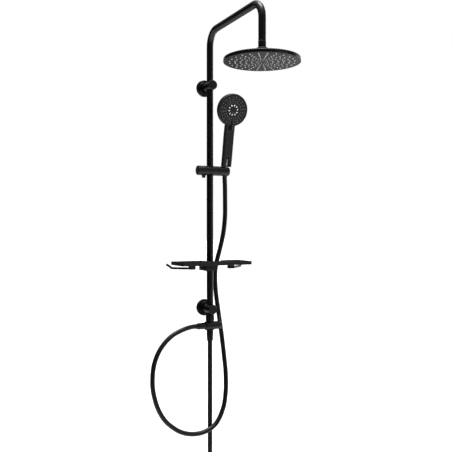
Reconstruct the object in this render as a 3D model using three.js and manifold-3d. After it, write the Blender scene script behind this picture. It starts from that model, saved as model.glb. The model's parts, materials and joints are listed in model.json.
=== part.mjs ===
// A rainfall shower column: a riser on two wall brackets, an overhead arm with a rain head on a
// ball joint, a hand shower on a slider, a diverter with its lever knob, a clamp-on shelf, and
// two hoses. Millimetres, +Z up, the wall is the plane Y = 0 and the user stands at -Y.
// The origin is the centre of the lower wall plate's back face.
import * as THREE from 'three';
import { ConvexGeometry } from 'three/addons/geometries/ConvexGeometry.js';
import { mergeVertices } from 'three/addons/utils/BufferGeometryUtils.js';
import Module from 'manifold-3d';

const wasm = await Module();
wasm.setup();

// ---------------------------------------------------------------- driving dimensions
const GAP = 0.3; // between pieces that touch
const SIDES = 16; // facets round a turned piece
const WIDE_SIDES = 32; // and round the two spray heads
const TUBE_R = 11.1; // riser and arm, outside
const TUBE_BORE = 9.4;
const RISER_OUT = 50; // wall to riser axis
const BRACKET_PITCH = 742; // lower to upper bracket
const ARM_Z = 921; // axis of the level part of the arm
const ARM_REACH = 352; // riser axis to drop axis
const BEND_R = 50;
const DROP_END_Z = 803; // where the arm meets the swivel nut
const BALL_Z = 776; // centre of the head's ball joint
const BALL_R = 9.4;
const HEAD_R = 111;
const HEAD_FACE_Z = 743;
const SLIDER_Z = 460;
const SLIDER_R = 15.9;
const HAND_X = 57; // axis of the hand shower's seat
const HAND_TILT = THREE.MathUtils.degToRad(14);
const SPRAY_W = 205.5; // spray disc centre, up the handle from the seat
const SPRAY_R = 53;
const DIVERTER_Z = -55.7;
const HOSE_R = 7.75;
const SHELF_BOTTOM = 147.5;
const SHELF_HEIGHT = 11.6;
const SHELF_HALF = 125;
const SHELF_FRONT = -114.3;
const SHELF_BACK = -13.6;

// Free hose from the seat of the hand shower, down the column, round a loop to the outlet.
const HAND_HOSE = [
  [57, -47.8, 451.1], [57, -43.7, 434.8], [57.8, -39.2, 416], [60.5, -35.6, 388], [63.5, -33, 352],
  [65, -31, 310], [60, -29, 255], [48, -28, 201], [35, -28, 154], [29.6, -28, 120],
  [29.4, -28, 95], [32.5, -28, 50], [40, -28, -2], [48.6, -28, -57], [55, -31, -111],
  [59, -37, -165], [60.3, -46, -218], [55.5, -56, -282], [42.5, -63, -333], [12, -68.5, -380.5],
  [-30, -70, -400.5], [-69, -69.5, -402.5], [-105, -68, -393.5], [-134, -65, -376.5],
  [-165, -62, -347.3],
  [-188.5, -59, -305], [-202, -56, -253], [-204, -54, -215], [-197, -52, -165], [-175, -51, -118.5],
  [-138, -50, -82], [-95, -50, -62.6], [-65, -50, -56.1], [-46, -50, -55.7],
];
// Fractions of that route where one stretch of hose meets the next.
const HOSE_CUTS = [0, 0.085, 0.165, 0.62, 1];
const HOSE_SIDES = 10;
const HOSE_STEP = 26;
const SUPPLY_TOP = -99;
const SUPPLY_END = -560;

// ---------------------------------------------------------------- finishes
const finish = (color, roughness, metalness) => () =>
  new THREE.MeshStandardMaterial({ color, roughness, metalness });
const blackCoat = finish(0x17171a, 0.42, 0.2);
const blackPlastic = finish(0x121214, 0.5, 0);
const blackHose = finish(0x0e0e10, 0.38, 0);
const brass = finish(0xb08d4a, 0.35, 1);
const steel = finish(0x9a9c9f, 0.35, 1);
const nylon = finish(0xd8d8d2, 0.6, 0);
const rubber = finish(0x1a1a1a, 0.8, 0);
const silicone = finish(0x9b9b98, 0.7, 0);

// ---------------------------------------------------------------- shape helpers
// The same shape with shared corners, no empty triangles, and its faces turned outwards.
function clean(geometry) {
  const bare = geometry.clone();
  bare.deleteAttribute('normal');
  bare.deleteAttribute('uv');
  const merged = mergeVertices(bare, 1e-4);
  const corner = merged.attributes.position;
  const index = merged.index.array;
  const kept = [];
  let volume = 0;
  const [a, b, c] = [new THREE.Vector3(), new THREE.Vector3(), new THREE.Vector3()];
  for (let i = 0; i < index.length; i += 3) {
    const [p, q, r] = [index[i], index[i + 1], index[i + 2]];
    if (p === q || q === r || r === p) continue;
    kept.push(p, q, r);
    a.fromBufferAttribute(corner, p);
    b.fromBufferAttribute(corner, q);
    c.fromBufferAttribute(corner, r);
    volume += a.dot(b.cross(c));
  }
  merged.setIndex(volume < 0 ? kept.reverse() : kept);
  return merged;
}

function solidOf(geometry) {
  const shape = clean(geometry);
  const vertProperties = new Float32Array(shape.attributes.position.array);
  const triVerts = new Uint32Array(shape.index.array);
  return new wasm.Manifold(new wasm.Mesh({ numProp: 3, vertProperties, triVerts }));
}

function geometryOf(solid) {
  const mesh = solid.getMesh();
  const geometry = new THREE.BufferGeometry();
  geometry.setAttribute('position', new THREE.BufferAttribute(mesh.vertProperties, 3));
  geometry.setIndex(new THREE.BufferAttribute(mesh.triVerts, 1));
  return geometry;
}

const cut = (base, ...tools) =>
  geometryOf(tools.reduce((solid, tool) => solid.subtract(solidOf(tool)), solidOf(base)));
const join = (base, ...others) =>
  geometryOf(others.reduce((solid, other) => solid.add(solidOf(other)), solidOf(base)));

// A profile of [radius, height] turned about +Z. It starts and ends on the axis, or is a ring
// whose last point joins its first.
function turned(profile, sides = SIDES) {
  const closed = profile[0][0] > 0 ? [...profile, profile[0]] : profile;
  const points = closed.map(([r, h]) => new THREE.Vector2(r, h));
  return clean(new THREE.LatheGeometry(points, sides).rotateX(Math.PI / 2));
}

const rod = (r, from, to, sides = SIDES) => turned([[0, from], [r, from], [r, to], [0, to]], sides);
const pipe = (bore, r, from, to, sides = SIDES) =>
  turned([[bore, from], [r, from], [r, to], [bore, to]], sides);
const alongX = (geometry) => geometry.rotateY(Math.PI / 2); // +Z becomes +X
const outwards = (geometry) => geometry.rotateX(Math.PI / 2); // +Z becomes -Y, away from the wall
const box = (x0, x1, y0, y1, z0, z1) => {
  const block = new THREE.BoxGeometry(x1 - x0, y1 - y0, z1 - z0);
  return block.translate((x0 + x1) / 2, (y0 + y1) / 2, (z0 + z1) / 2);
};

// A curve through fixed stations, one for each step, so that straight runs cost one step.
// Its headings are given, or else worked out from the neighbouring stations.
class StationPath extends THREE.Curve {
  constructor(stations, headings) {
    super();
    this.stations = stations;
    this.headings = headings;
  }
  getPoint(t) {
    const place = t * (this.stations.length - 1);
    const first = Math.min(Math.floor(place), this.stations.length - 2);
    return this.stations[first].clone().lerp(this.stations[first + 1], place - first);
  }
  getPointAt(u) {
    return this.getPoint(u);
  }
  getTangentAt(u) {
    const last = this.stations.length - 1;
    const here = Math.round(u * last);
    if (this.headings) return this.headings[here].clone();
    const ahead = this.stations[Math.min(here + 1, last)];
    const behind = this.stations[Math.max(here - 1, 0)];
    const before = this.stations[here].clone().sub(behind).normalize();
    const after = ahead.clone().sub(this.stations[here]).normalize();
    return before.add(after).normalize();
  }
}

function circle(r, sides, bore = 0) {
  const ring = (radius) =>
    Array.from({ length: sides }, (_, i) => {
      const angle = (2 * Math.PI * i) / sides;
      return new THREE.Vector2(radius * Math.cos(angle), radius * Math.sin(angle));
    });
  const shape = new THREE.Shape(ring(r));
  if (bore > 0) shape.holes.push(new THREE.Path(ring(bore)));
  return shape;
}

const swept = (shape, stations, headings) =>
  clean(new THREE.ExtrudeGeometry(shape, {
    steps: stations.length - 1,
    extrudePath: new StationPath(stations, headings),
    bevelEnabled: false,
    curveSegments: 6,
  }));

// A flat outline of [x, y] points, raised from one height to another.
function slab(outline, from, to) {
  const shape = new THREE.Shape(outline.map(([x, y]) => new THREE.Vector2(x, y)));
  const raised = new THREE.ExtrudeGeometry(shape, { depth: to - from, bevelEnabled: false });
  return clean(raised.translate(0, 0, from));
}

function piece(name, geometry, material) {
  const mesh = new THREE.Mesh(clean(geometry), material());
  mesh.name = name;
  return mesh;
}

function group(pieces, position = [0, 0, 0], tilt = 0) {
  const made = new THREE.Group();
  made.add(...pieces);
  made.position.set(...position);
  made.rotation.x = tilt;
  return made;
}

// ---------------------------------------------------------------- wall brackets
// Heights in these profiles are distances from the wall.
const PLATE_R = 20;
const PLATE_T = 5;
const STUB_R = 9;
const STUB_END = 22;
const SCREW_X = 14.5;
const BODY_R = 15.7;
const BODY_END = RISER_OUT + 18.5;
const CAP_SEAT = BODY_END - 5.5;
const CAP_END = BODY_END + 6.7;

function wallPlate(name) {
  const plate = turned([
    [0, 0], [PLATE_R, 0], [PLATE_R, PLATE_T], [STUB_R, PLATE_T], [STUB_R, STUB_END], [0, STUB_END],
  ]);
  const holeProfile = [[0, -1], [2.4, -1], [2.4, 2.5], [4.6, PLATE_T + 0.1], [4.6, 8], [0, 8]];
  const hole = () => turned(holeProfile, 12);
  const holes = [-SCREW_X, SCREW_X].map((x) => hole().translate(x, 0, 0));
  return piece(name, outwards(cut(plate, ...holes)), brass);
}

function wallScrew(name, x) {
  const screw = turned([[0, 0.2], [2, 0.2], [2, 2.6], [3.9, 4.7], [0, 4.7]], 12);
  return piece(name, outwards(screw.translate(x, 0, 0)), steel);
}

function rosette(name) {
  const dish = turned([
    [26.6, 0.3], [28.2, 0.3], [28.2, 7.2], [27.3, 9.2], [25.2, 10], [23.4, 10], [23, 8.6],
    [20.8, 8.6], [20.4, 10.4], [19.6, 11.4], [BODY_R + GAP, 11.4], [BODY_R + GAP, 6.6],
    [25.8, 6.6], [26.6, 5.8],
  ]);
  return piece(name, outwards(dish), blackCoat);
}

function bracketBody(name) {
  const arm = rod(BODY_R, PLATE_T + GAP, BODY_END);
  const socket = rod(STUB_R + GAP, 0, STUB_END + 0.5);
  const capSeat = rod(8 + GAP, CAP_SEAT, CAP_END);
  const riserHole = alongX(rod(TUBE_R + GAP, -20, 20)).rotateZ(Math.PI / 2).translate(0, 0, RISER_OUT);
  const screwHole = rod(2.8, -20, 0, 12).rotateX(-Math.PI / 2).translate(0, 0, 14);
  return piece(name, outwards(cut(arm, socket, capSeat, riserHole, screwHole)), blackCoat);
}

function bracketCap(name) {
  const cap = turned([
    [0, CAP_SEAT + 0.5], [8, CAP_SEAT + 0.5], [8, BODY_END + GAP], [BODY_R - 0.3, BODY_END + GAP],
    [BODY_R, BODY_END + 0.6], [BODY_R, CAP_END - 2.2], [BODY_R - 0.6, CAP_END - 0.8],
    [BODY_R - 2, CAP_END], [0, CAP_END],
  ]);
  return piece(name, outwards(cap), blackCoat);
}

function grubScrew(name) {
  const screw = cut(rod(2.4, -BODY_R + 0.6, -STUB_R - GAP, 12), rod(1.3, -20, -BODY_R + 3, 6));
  return piece(name, screw.translate(0, -14, 0), steel);
}

const bracket = (side, z) =>
  group([
    wallPlate(`${side}_wall_plate`),
    wallScrew(`${side}_wall_screw_left`, -SCREW_X),
    wallScrew(`${side}_wall_screw_right`, SCREW_X),
    rosette(`${side}_rosette`),
    bracketBody(`${side}_bracket_body`),
    bracketCap(`${side}_bracket_cap`),
    grubScrew(`${side}_bracket_grub_screw`),
  ], [0, 0, z]);

// ---------------------------------------------------------------- riser and arm
const RISER_BOTTOM = -36;

function riser() {
  const tube = pipe(TUBE_BORE, TUBE_R, RISER_BOTTOM, BRACKET_PITCH - GAP / 2);
  return piece('riser_tube', tube, blackCoat);
}

function armTube() {
  const steps = 6;
  const bend = (centreY, from) =>
    Array.from({ length: steps + 1 }, (_, i) => {
      const angle = from + (i * Math.PI) / 2 / steps;
      const [out, up] = [BEND_R * Math.cos(angle), BEND_R * Math.sin(angle)];
      return new THREE.Vector3(0, centreY + out, ARM_Z - BEND_R + up);
    });
  const stations = [
    new THREE.Vector3(0, 0, BRACKET_PITCH + GAP / 2),
    ...bend(-BEND_R, 0),
    ...bend(BEND_R - ARM_REACH, Math.PI / 2),
    new THREE.Vector3(0, -ARM_REACH, DROP_END_Z + GAP),
  ];
  return piece('arm_tube', swept(circle(TUBE_R, SIDES, TUBE_BORE), stations), blackCoat);
}

// The arm's hollow spigot, which slides into the top of the riser inside the upper bracket.
function armSpigot() {
  const r = TUBE_BORE - GAP;
  const groove = [[r, -12], [r - 1.8, -12], [r - 1.8, -9], [r, -9]];
  const spigot = turned([[6, -26], [r, -26], ...groove, [r, 24], [6, 24]]);
  return piece('arm_spigot', spigot.translate(0, 0, BRACKET_PITCH), brass);
}

function armSeal() {
  const r = TUBE_BORE - GAP;
  const seal = turned([[r - 1.5, -11.7], [r, -11.2], [r, -9.8], [r - 1.5, -9.3]]);
  return piece('arm_o_ring', seal.translate(0, 0, BRACKET_PITCH), rubber);
}

// ---------------------------------------------------------------- rain head
// Heights in these profiles are from the centre of the ball.
const NUT_R = 11.6;
const NUT_BOTTOM = 10.8;
const NUT_TOP = DROP_END_Z - BALL_Z;
const FACE_H = HEAD_FACE_Z - BALL_Z;

function swivelNut() {
  const nut = turned([
    [5.3, NUT_BOTTOM], [11, NUT_BOTTOM], [NUT_R, NUT_BOTTOM + 0.6], [NUT_R, NUT_TOP - 0.6],
    [11.1, NUT_TOP], [8.3, NUT_TOP], [8.3, NUT_BOTTOM + 4], [5.3, NUT_BOTTOM + 4],
  ]);
  return piece('swivel_nut', nut, blackCoat);
}

function nutSeal() {
  return piece('swivel_seal', pipe(4, 8, NUT_BOTTOM + 6.4, NUT_BOTTOM + 8.4), rubber);
}

function swivelBall() {
  const flange = NUT_BOTTOM + 4 + GAP;
  const stemR = 4.9;
  const bore = 3;
  const start = Math.asin(bore / BALL_R);
  const end = Math.PI - Math.asin(stemR / BALL_R);
  const arc = Array.from({ length: 10 }, (_, i) => {
    const angle = start + ((end - start) * i) / 9;
    return [BALL_R * Math.sin(angle), -BALL_R * Math.cos(angle)];
  });
  const stem = [[stemR, flange], [7.9, flange], [7.9, flange + 1.6], [bore, flange + 1.6]];
  return piece('swivel_ball', turned([...arc, ...stem]), blackCoat);
}

function headCollar() {
  const socketR = BALL_R + GAP;
  const socket = [0, 1, 2, 3].map((i) => {
    const angle = (i * 0.72) / 3;
    return [socketR * Math.cos(angle), socketR * Math.sin(angle)];
  });
  const collar = turned([
    [socketR, -12], ...socket, [8.3, 8], [9.8, 8.2], [17.6, 6.2], [18, 5.6], [18, -5.7],
    [11.7, -5.7], [11.7, -12],
  ]);
  return piece('head_collar', collar, blackCoat);
}

function ballSeat() {
  const seat = turned([[5, -12], [9.3, -12], [9.3, -5], [8.6, -5], [5, -8.9]]);
  return piece('ball_seat_ring', seat, nylon);
}

function headShell() {
  const shell = turned([
    [12, -8], [12, -6], [24, -6.4], [60, -17], [108, -21.9], [110.2, -22.9], [HEAD_R, -24.7],
    [HEAD_R, FACE_H], [109.3, FACE_H], [109.3, -23.7], [60, -18.8], [24, -8.2],
  ], WIDE_SIDES);
  return piece('head_shell', shell, blackCoat);
}

function nozzleMat() {
  return piece('nozzle_mat', rod(108, FACE_H + 2.4, FACE_H + 4, WIDE_SIDES), silicone);
}

function headFace() {
  const face = turned([
    [0, FACE_H + 0.4], [106.5, FACE_H + 0.4], [108.9, FACE_H], [108.9, FACE_H + 2.1], [0, FACE_H + 2.1],
  ], WIDE_SIDES);
  return piece('head_face', face, blackPlastic);
}

const rainHead = () =>
  group(
    [
      swivelNut(), nutSeal(), swivelBall(), headCollar(), ballSeat(),
      headShell(), nozzleMat(), headFace(),
    ],
    [0, -RISER_OUT - ARM_REACH, BALL_Z],
  );

// ---------------------------------------------------------------- slider and hand shower seat
const SLIDER_LEFT = -38;
const SLIDER_RIGHT = 27.5;
const CAP_LEFT = -46.2;
const SEAT_RIGHT = 68.2;
const BUSH_R = 12.6;
const BUTTON_X = -23;
const BUTTON_R = 7;
const BUTTON_TOP = -9.5;
const BUTTON_BOTTOM = -24.2;

function sliderBody() {
  const barrel = alongX(rod(SLIDER_R, SLIDER_LEFT, SLIDER_RIGHT));
  const bushHole = rod(BUSH_R + GAP, -20, 20);
  const capHole = alongX(rod(8.3, SLIDER_LEFT - 1, SLIDER_LEFT + 4.5, 16));
  const pocket = rod(BUTTON_R + GAP, -20, -2.5).translate(BUTTON_X, 0, 0);
  const pivotHole = alongX(rod(3.3, 15, 40, 12));
  return piece('slider_body', cut(barrel, bushHole, capHole, pocket, pivotHole), blackCoat);
}

function sliderCap() {
  const cap = turned([
    [0, CAP_LEFT], [13.8, CAP_LEFT], [SLIDER_R, CAP_LEFT + 1.5], [SLIDER_R, SLIDER_LEFT - GAP],
    [8, SLIDER_LEFT - GAP], [8, SLIDER_LEFT + 4], [0, SLIDER_LEFT + 4],
  ]);
  return piece('slider_end_cap', alongX(cap), blackPlastic);
}

function sliderBush() {
  return piece('slider_bush', pipe(TUBE_R + GAP, BUSH_R, -8.5, 8.5), nylon);
}

function releaseButton() {
  const button = turned([
    [0, BUTTON_BOTTOM], [6, BUTTON_BOTTOM], [BUTTON_R, BUTTON_BOTTOM + 1], [BUTTON_R, BUTTON_TOP],
    [0, BUTTON_TOP],
  ]);
  return piece('release_button', button.translate(BUTTON_X, 0, 0), blackPlastic);
}

// A coil spring between the button and the roof of its pocket, with flat-cut ends.
function buttonSpring() {
  const turns = 3;
  const perTurn = 10;
  const wire = 0.55;
  const low = BUTTON_TOP + GAP + wire;
  const high = -2.5 - GAP - wire;
  const stations = Array.from({ length: turns * perTurn + 1 }, (_, i) => {
    const angle = (2 * Math.PI * i) / perTurn;
    const climb = ((high - low) * i) / (turns * perTurn);
    return new THREE.Vector3(BUTTON_X + 5 * Math.cos(angle), 5 * Math.sin(angle), low + climb);
  });
  return piece('button_spring', swept(circle(wire, 6), stations), steel);
}

function pivotScrew() {
  const screw = turned([[0, 15.5], [3, 15.5], [3, 33.3], [5.4, 33.3], [5.4, 36.6], [0, 36.6]], 16);
  return piece('seat_pivot_screw', alongX(screw), steel);
}

// The seat turns on its pivot screw. Its conical hole opens to the right in a slot for the hose.
function handSeat() {
  const barrel = alongX(turned([
    [0, SLIDER_RIGHT + GAP], [SLIDER_R, SLIDER_RIGHT + GAP], [SLIDER_R, SEAT_RIGHT - 1],
    [SLIDER_R - 1, SEAT_RIGHT], [0, SEAT_RIGHT],
  ]));
  const cone = turned([[0, -20], [9.45, -20], [11.9, 20], [0, 20]]).translate(HAND_X, 0, 0);
  const slot = box(HAND_X, SEAT_RIGHT + 5, -HOSE_R - GAP, HOSE_R + GAP, -20, 20);
  const headPocket = alongX(rod(5.8, 33, HAND_X, 16));
  const shankHole = alongX(rod(3.3, 20, HAND_X, 12));
  return piece('hand_seat', cut(barrel, cone, slot, headPocket, shankHole), blackCoat);
}

const slider = () =>
  group([sliderBody(), sliderCap(), sliderBush(), releaseButton(), buttonSpring(), pivotScrew()],
    [0, -RISER_OUT, SLIDER_Z]);

// ---------------------------------------------------------------- hand shower
// Heights are along the handle from the middle of the seat, and -Y is the spray side.
const HANDLE_FOOT = 16.5;
const HANDLE_BORE = 7.6;
const STEM_TOP = 42;
// The scoop in the front of the handle's foot, over the inlet stem: an upright wedge.
const SCOOP = { foot: HANDLE_FOOT + 3, top: HANDLE_FOOT + 35, deep: 4.8 };

function coneNut() {
  const nut = turned([
    [HOSE_R + GAP, -16], [9.3, -16], [11.05, 13], [10.6, 13.8], [8.3, 13.8], [8.3, -8.6],
    [HOSE_R + GAP, -8.6],
  ]);
  return piece('hose_cone_nut', nut, blackCoat);
}

function inletStem() {
  return piece('hand_inlet_stem', pipe(5, HANDLE_BORE - GAP, -8, STEM_TOP), steel);
}

function handShell() {
  const [halfWide, halfDeep] = [16.8, 11];
  const section = Array.from({ length: 16 }, (_, i) => {
    const angle = (2 * Math.PI * (i + 0.5)) / 16;
    const round = (v) => Math.sign(v) * Math.abs(v) ** 0.56;
    return new THREE.Vector2(halfWide * round(Math.cos(angle)), halfDeep * round(Math.sin(angle)));
  });
  const spine = [[0, HANDLE_FOOT], [1, 50], [3.5, 90], [5.5, 130], [5, 160], [3, 185]];
  const handle = swept(new THREE.Shape(section), spine.map(([y, z]) => new THREE.Vector3(0, y, z)));
  const disc = outwards(turned([
    [0, -14], [30, -13.5], [46, -10.5], [51.5, -7.5], [SPRAY_R, -4.5], [SPRAY_R, 7], [52.4, 8], [0, 8],
  ], WIDE_SIDES)).translate(0, 0, SPRAY_W);
  const bore = rod(HANDLE_BORE, 0, STEM_TOP + GAP);
  const scoop = outwards(slab([
    [-9.6, SCOOP.foot], [9.6, SCOOP.foot], [0.8, SCOOP.top], [-0.8, SCOOP.top],
  ], SCOOP.deep, 20));
  return piece('hand_shell', cut(join(handle, disc), bore, scoop), blackPlastic);
}

function sprayFace() {
  const face = outwards(turned([
    [0, 8.3], [47.4, 8.3], [47.4, 10.2], [46.6, 10.8], [0, 10.8],
  ], WIDE_SIDES));
  return piece('spray_face', face.translate(0, 0, SPRAY_W), blackPlastic);
}

// The spray selector: a bezel round the face, with a three-sided thumb wedge. The wedge starts
// at a point over the face and stands proud below it, on a tongue of the bezel.
function modeRing() {
  const ring = outwards(turned([
    [47.8, 8.3], [52.4, 8.3], [52.4, 9.8], [51.2, 11], [47.8, 11],
  ], WIDE_SIDES));
  const tongue = outwards(slab([[-5.5, -65.5], [5, -65.5], [4, -50], [-4.5, -50]], 8.3, 12));
  const wedge = new ConvexGeometry([
    [-1.5, -11.15, -26], [-8, -11.15, -66], [7, -11.15, -66], [-1, -21, -65.5],
  ].map((point) => new THREE.Vector3(...point)));
  return piece('mode_ring', join(ring, tongue, wedge).translate(0, 0, SPRAY_W), blackPlastic);
}

const handShower = () => {
  const shower = group([coneNut(), inletStem(), handShell(), sprayFace(), modeRing()], [HAND_X, 0, 0]);
  return group([handSeat(), shower], [0, -RISER_OUT, SLIDER_Z], HAND_TILT);
};

// ---------------------------------------------------------------- diverter
// X and Z here are from the middle of the diverter's cross body.
const COLLAR_TOP = -19.2 - DIVERTER_Z;
const COLLAR_BOTTOM = -38.5 - DIVERTER_Z;
const LOWER_TOP = -15.2;
const LOWER_BOTTOM = -49.5;
const OUTLET_IN = -16.8;
const OUTLET_OUT = -42.8;
const OUTLET_R = 8; // the body's outlet stub
const KNOB_IN = 15.2;
const KNOB_OUT = 40.8;
const KNOB_R = 13.1;
const PIN_X = 32.5;
const PIN_R = 3;
const PIN_TOP = 33.4;

function collarNut() {
  const nut = turned([
    [TUBE_R + GAP, COLLAR_BOTTOM], [13.7, COLLAR_BOTTOM], [14.2, COLLAR_BOTTOM + 0.8],
    [14.2, COLLAR_TOP - 0.8], [13.7, COLLAR_TOP], [TUBE_R + GAP, COLLAR_TOP],
  ]);
  return piece('diverter_collar_nut', nut, blackCoat);
}

function diverterBody() {
  const neck = rod(12.9, LOWER_TOP + GAP, COLLAR_BOTTOM - GAP);
  const spigot = rod(TUBE_BORE - GAP, 0, COLLAR_BOTTOM + 16);
  const barrel = alongX(rod(14.5, OUTLET_IN + GAP, KNOB_IN - GAP));
  const outlet = alongX(rod(OUTLET_R, OUTLET_IN - 15, 0));
  const inlet = rod(8, LOWER_TOP - 14, 0);
  const waterway = rod(5.5, -60, 60, 16);
  const outletBore = alongX(rod(4.5, -60, 0, 16));
  const valveBore = alongX(rod(9, -8, 60));
  const body = join(neck, spigot, barrel, outlet, inlet);
  return piece('diverter_body', cut(body, waterway, outletBore, valveBore), blackCoat);
}

function valveSpindle() {
  const plug = alongX(turned([[0, -7.5], [8.7, -7.5], [8.7, 13], [4, 13], [4, 30], [0, 30]]));
  return piece('diverter_spindle', cut(plug, rod(5, -12, 12, 12)), brass);
}

function diverterKnob() {
  const knob = alongX(turned([
    [0, KNOB_IN], [KNOB_R - 0.6, KNOB_IN], [KNOB_R, KNOB_IN + 0.6], [KNOB_R, KNOB_OUT - 1.2],
    [KNOB_R - 1.2, KNOB_OUT], [0, KNOB_OUT],
  ]));
  const spindleHole = alongX(rod(4.3, 0, 30.4));
  const pinHole = rod(PIN_R + GAP, 5, 20, 12).translate(PIN_X, 0, 0);
  return piece('diverter_knob', cut(knob, spindleHole, pinHole), blackCoat);
}

function knobPin() {
  const pin = turned([
    [0, 5.4], [PIN_R, 5.4], [PIN_R, PIN_TOP - 0.8], [PIN_R - 0.8, PIN_TOP], [0, PIN_TOP],
  ]);
  return piece('knob_lever_pin', pin.translate(PIN_X, 0, 0), blackCoat);
}

function outletNut() {
  const nut = alongX(turned([
    [HOSE_R + GAP, OUTLET_OUT], [10.7, OUTLET_OUT], [11, OUTLET_OUT + 0.8], [11, OUTLET_OUT + 3.2],
    [10.3, OUTLET_OUT + 4], [11.1, OUTLET_IN - 0.8], [10.7, OUTLET_IN], [OUTLET_R + GAP, OUTLET_IN],
    [OUTLET_R + GAP, OUTLET_IN - 16], [HOSE_R + GAP, OUTLET_IN - 16],
  ]));
  return piece('outlet_nut', nut, blackCoat);
}

function outletFerrule() {
  const ferrule = alongX(turned([
    [HOSE_R + GAP, -50.2], [8.7, -50.2], [9.1, -49.6], [9.1, OUTLET_OUT - GAP],
    [HOSE_R + GAP, OUTLET_OUT - GAP],
  ]));
  return piece('outlet_ferrule', ferrule, blackCoat);
}

function lowerNut() {
  const nut = turned([
    [HOSE_R + GAP, LOWER_BOTTOM], [9.6, LOWER_BOTTOM], [10, LOWER_BOTTOM + 0.6], [11.1, LOWER_TOP - 14],
    [11.1, LOWER_TOP], [8.3, LOWER_TOP], [8.3, LOWER_TOP - 15], [HOSE_R + GAP, LOWER_TOP - 15],
  ]);
  return piece('supply_top_nut', nut, blackCoat);
}

const diverter = () =>
  group([
    collarNut(), diverterBody(), valveSpindle(), diverterKnob(), knobPin(),
    outletNut(), outletFerrule(), lowerNut(),
  ], [0, -RISER_OUT, DIVERTER_Z]);

// ---------------------------------------------------------------- shelf
const NOTCH = { left: -12, right: 56, front: -62 };
const WALL = 3;
const CLAMP = { left: -20, right: 17, front: -67, back: -6, top: SHELF_BOTTOM - GAP, bottom: 127.2 };
const CLAMP_MIDDLE = (CLAMP.bottom + CLAMP.top) / 2;
const PAD_IN = 30.6; // the pad's back end, from the wall

function shelfTray() {
  const corner = 5;
  const outline = (inset) => {
    const [left, right] = [inset - SHELF_HALF, SHELF_HALF - inset];
    const [front, back] = [SHELF_FRONT + inset, SHELF_BACK - inset];
    const round = corner - inset / 2;
    return [
      [left + round, front], [right - round, front], [right, front + round], [right, back],
      [NOTCH.right + inset, back], [NOTCH.right + inset, NOTCH.front - inset],
      [NOTCH.left - inset, NOTCH.front - inset], [NOTCH.left - inset, back], [left, back],
      [left, front + round],
    ];
  };
  const block = slab(outline(0), SHELF_BOTTOM, SHELF_BOTTOM + SHELF_HEIGHT);
  const pocket = slab(outline(WALL), SHELF_BOTTOM + WALL, SHELF_BOTTOM + SHELF_HEIGHT + 5);
  return piece('shelf_tray', cut(block, pocket), blackPlastic);
}

function shelfClamp() {
  const block = box(CLAMP.left, CLAMP.right, CLAMP.front, CLAMP.back, CLAMP.bottom, CLAMP.top);
  const riserHole = rod(TUBE_R + GAP, 100, 160).translate(0, -RISER_OUT, 0);
  const padHole = outwards(rod(5.3, PAD_IN - 0.6, RISER_OUT - 5, 16)).translate(0, 0, CLAMP_MIDDLE);
  const screwHole = outwards(rod(3.3, 0, PAD_IN + 5, 12)).translate(0, 0, CLAMP_MIDDLE);
  return piece('shelf_clamp', cut(block, riserHole, padHole, screwHole), blackPlastic);
}

function shelfClampPad() {
  const pad = outwards(rod(5, PAD_IN, RISER_OUT - TUBE_R - GAP, 16));
  return piece('shelf_clamp_pad', pad.translate(0, 0, CLAMP_MIDDLE), nylon);
}

function shelfClampScrew() {
  const head = 1 - CLAMP.back;
  const screw = cut(rod(3, head, PAD_IN - 0.4, 12), rod(1.6, 0, head + 4, 6));
  return piece('shelf_clamp_screw', outwards(screw).translate(0, 0, CLAMP_MIDDLE), steel);
}

// A side hook: a foot under the tray, a flat bar out and back, and a tip that turns up.
function shelfHook(name, side) {
  const middle = 137.3;
  const corners = [[-3.6, -3.6], [3.6, -3.6], [3.6, 3.6], [-3.6, 3.6]];
  const bar = new THREE.Shape(corners.map(([x, y]) => new THREE.Vector2(x, y)));
  const stations = [
    [66, -64, middle], [80, -60, middle], [122, -25, middle], [126.5, -21.8, middle + 0.6],
    [131, -18.8, middle + 5], [142, -14.5, middle + 13],
  ].map(([x, y, z]) => new THREE.Vector3(side * x, y, z));
  const footOutline = [[62, -73], [80, -73], [80, -54], [62, -54]].map(([x, y]) => [side * x, y]);
  const foot = slab(footOutline, 133.4, SHELF_BOTTOM - GAP);
  return piece(name, join(foot, swept(bar, stations)), blackPlastic);
}

const shelf = () =>
  group([
    shelfTray(), shelfClamp(), shelfClampPad(), shelfClampScrew(),
    shelfHook('shelf_hook_left', -1), shelfHook('shelf_hook_right', 1),
  ]);

// ---------------------------------------------------------------- hoses
function handHose() {
  const points = HAND_HOSE.map((p) => new THREE.Vector3(...p));
  const route = new THREE.CatmullRomCurve3(points, false, 'centripetal');
  const length = route.getLength();
  return HOSE_CUTS.slice(1).map((end, i) => {
    const start = HOSE_CUTS[i];
    const steps = Math.ceil(((end - start) * length) / HOSE_STEP);
    const first = i === 0 ? 0 : (GAP / 2) / length;
    const last = i === HOSE_CUTS.length - 2 ? 0 : (GAP / 2) / length;
    const along = Array.from({ length: steps + 1 }, (_, k) =>
      start + first + ((end - start - first - last) * k) / steps);
    const stations = along.map((u) => route.getPointAt(u));
    const headings = along.map((u) => route.getTangentAt(u));
    return piece(`hand_hose_${i + 1}`, swept(circle(HOSE_R, HOSE_SIDES), stations, headings), blackHose);
  });
}

// The supply hose hangs straight from the diverter to a union nut, which holds a washer.
const UNION_END = SUPPLY_END - 26;

function unionNut() {
  const nut = turned([
    [HOSE_R + GAP, SUPPLY_END], [HOSE_R + GAP, SUPPLY_END - 8], [9.8, SUPPLY_END - 8],
    [9.8, UNION_END], [11.6, UNION_END], [12, UNION_END + 0.6], [12, SUPPLY_END - 6],
    [9.6, SUPPLY_END - 1.5], [9.2, SUPPLY_END],
  ]);
  return piece('supply_union_nut', nut, blackCoat);
}

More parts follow.
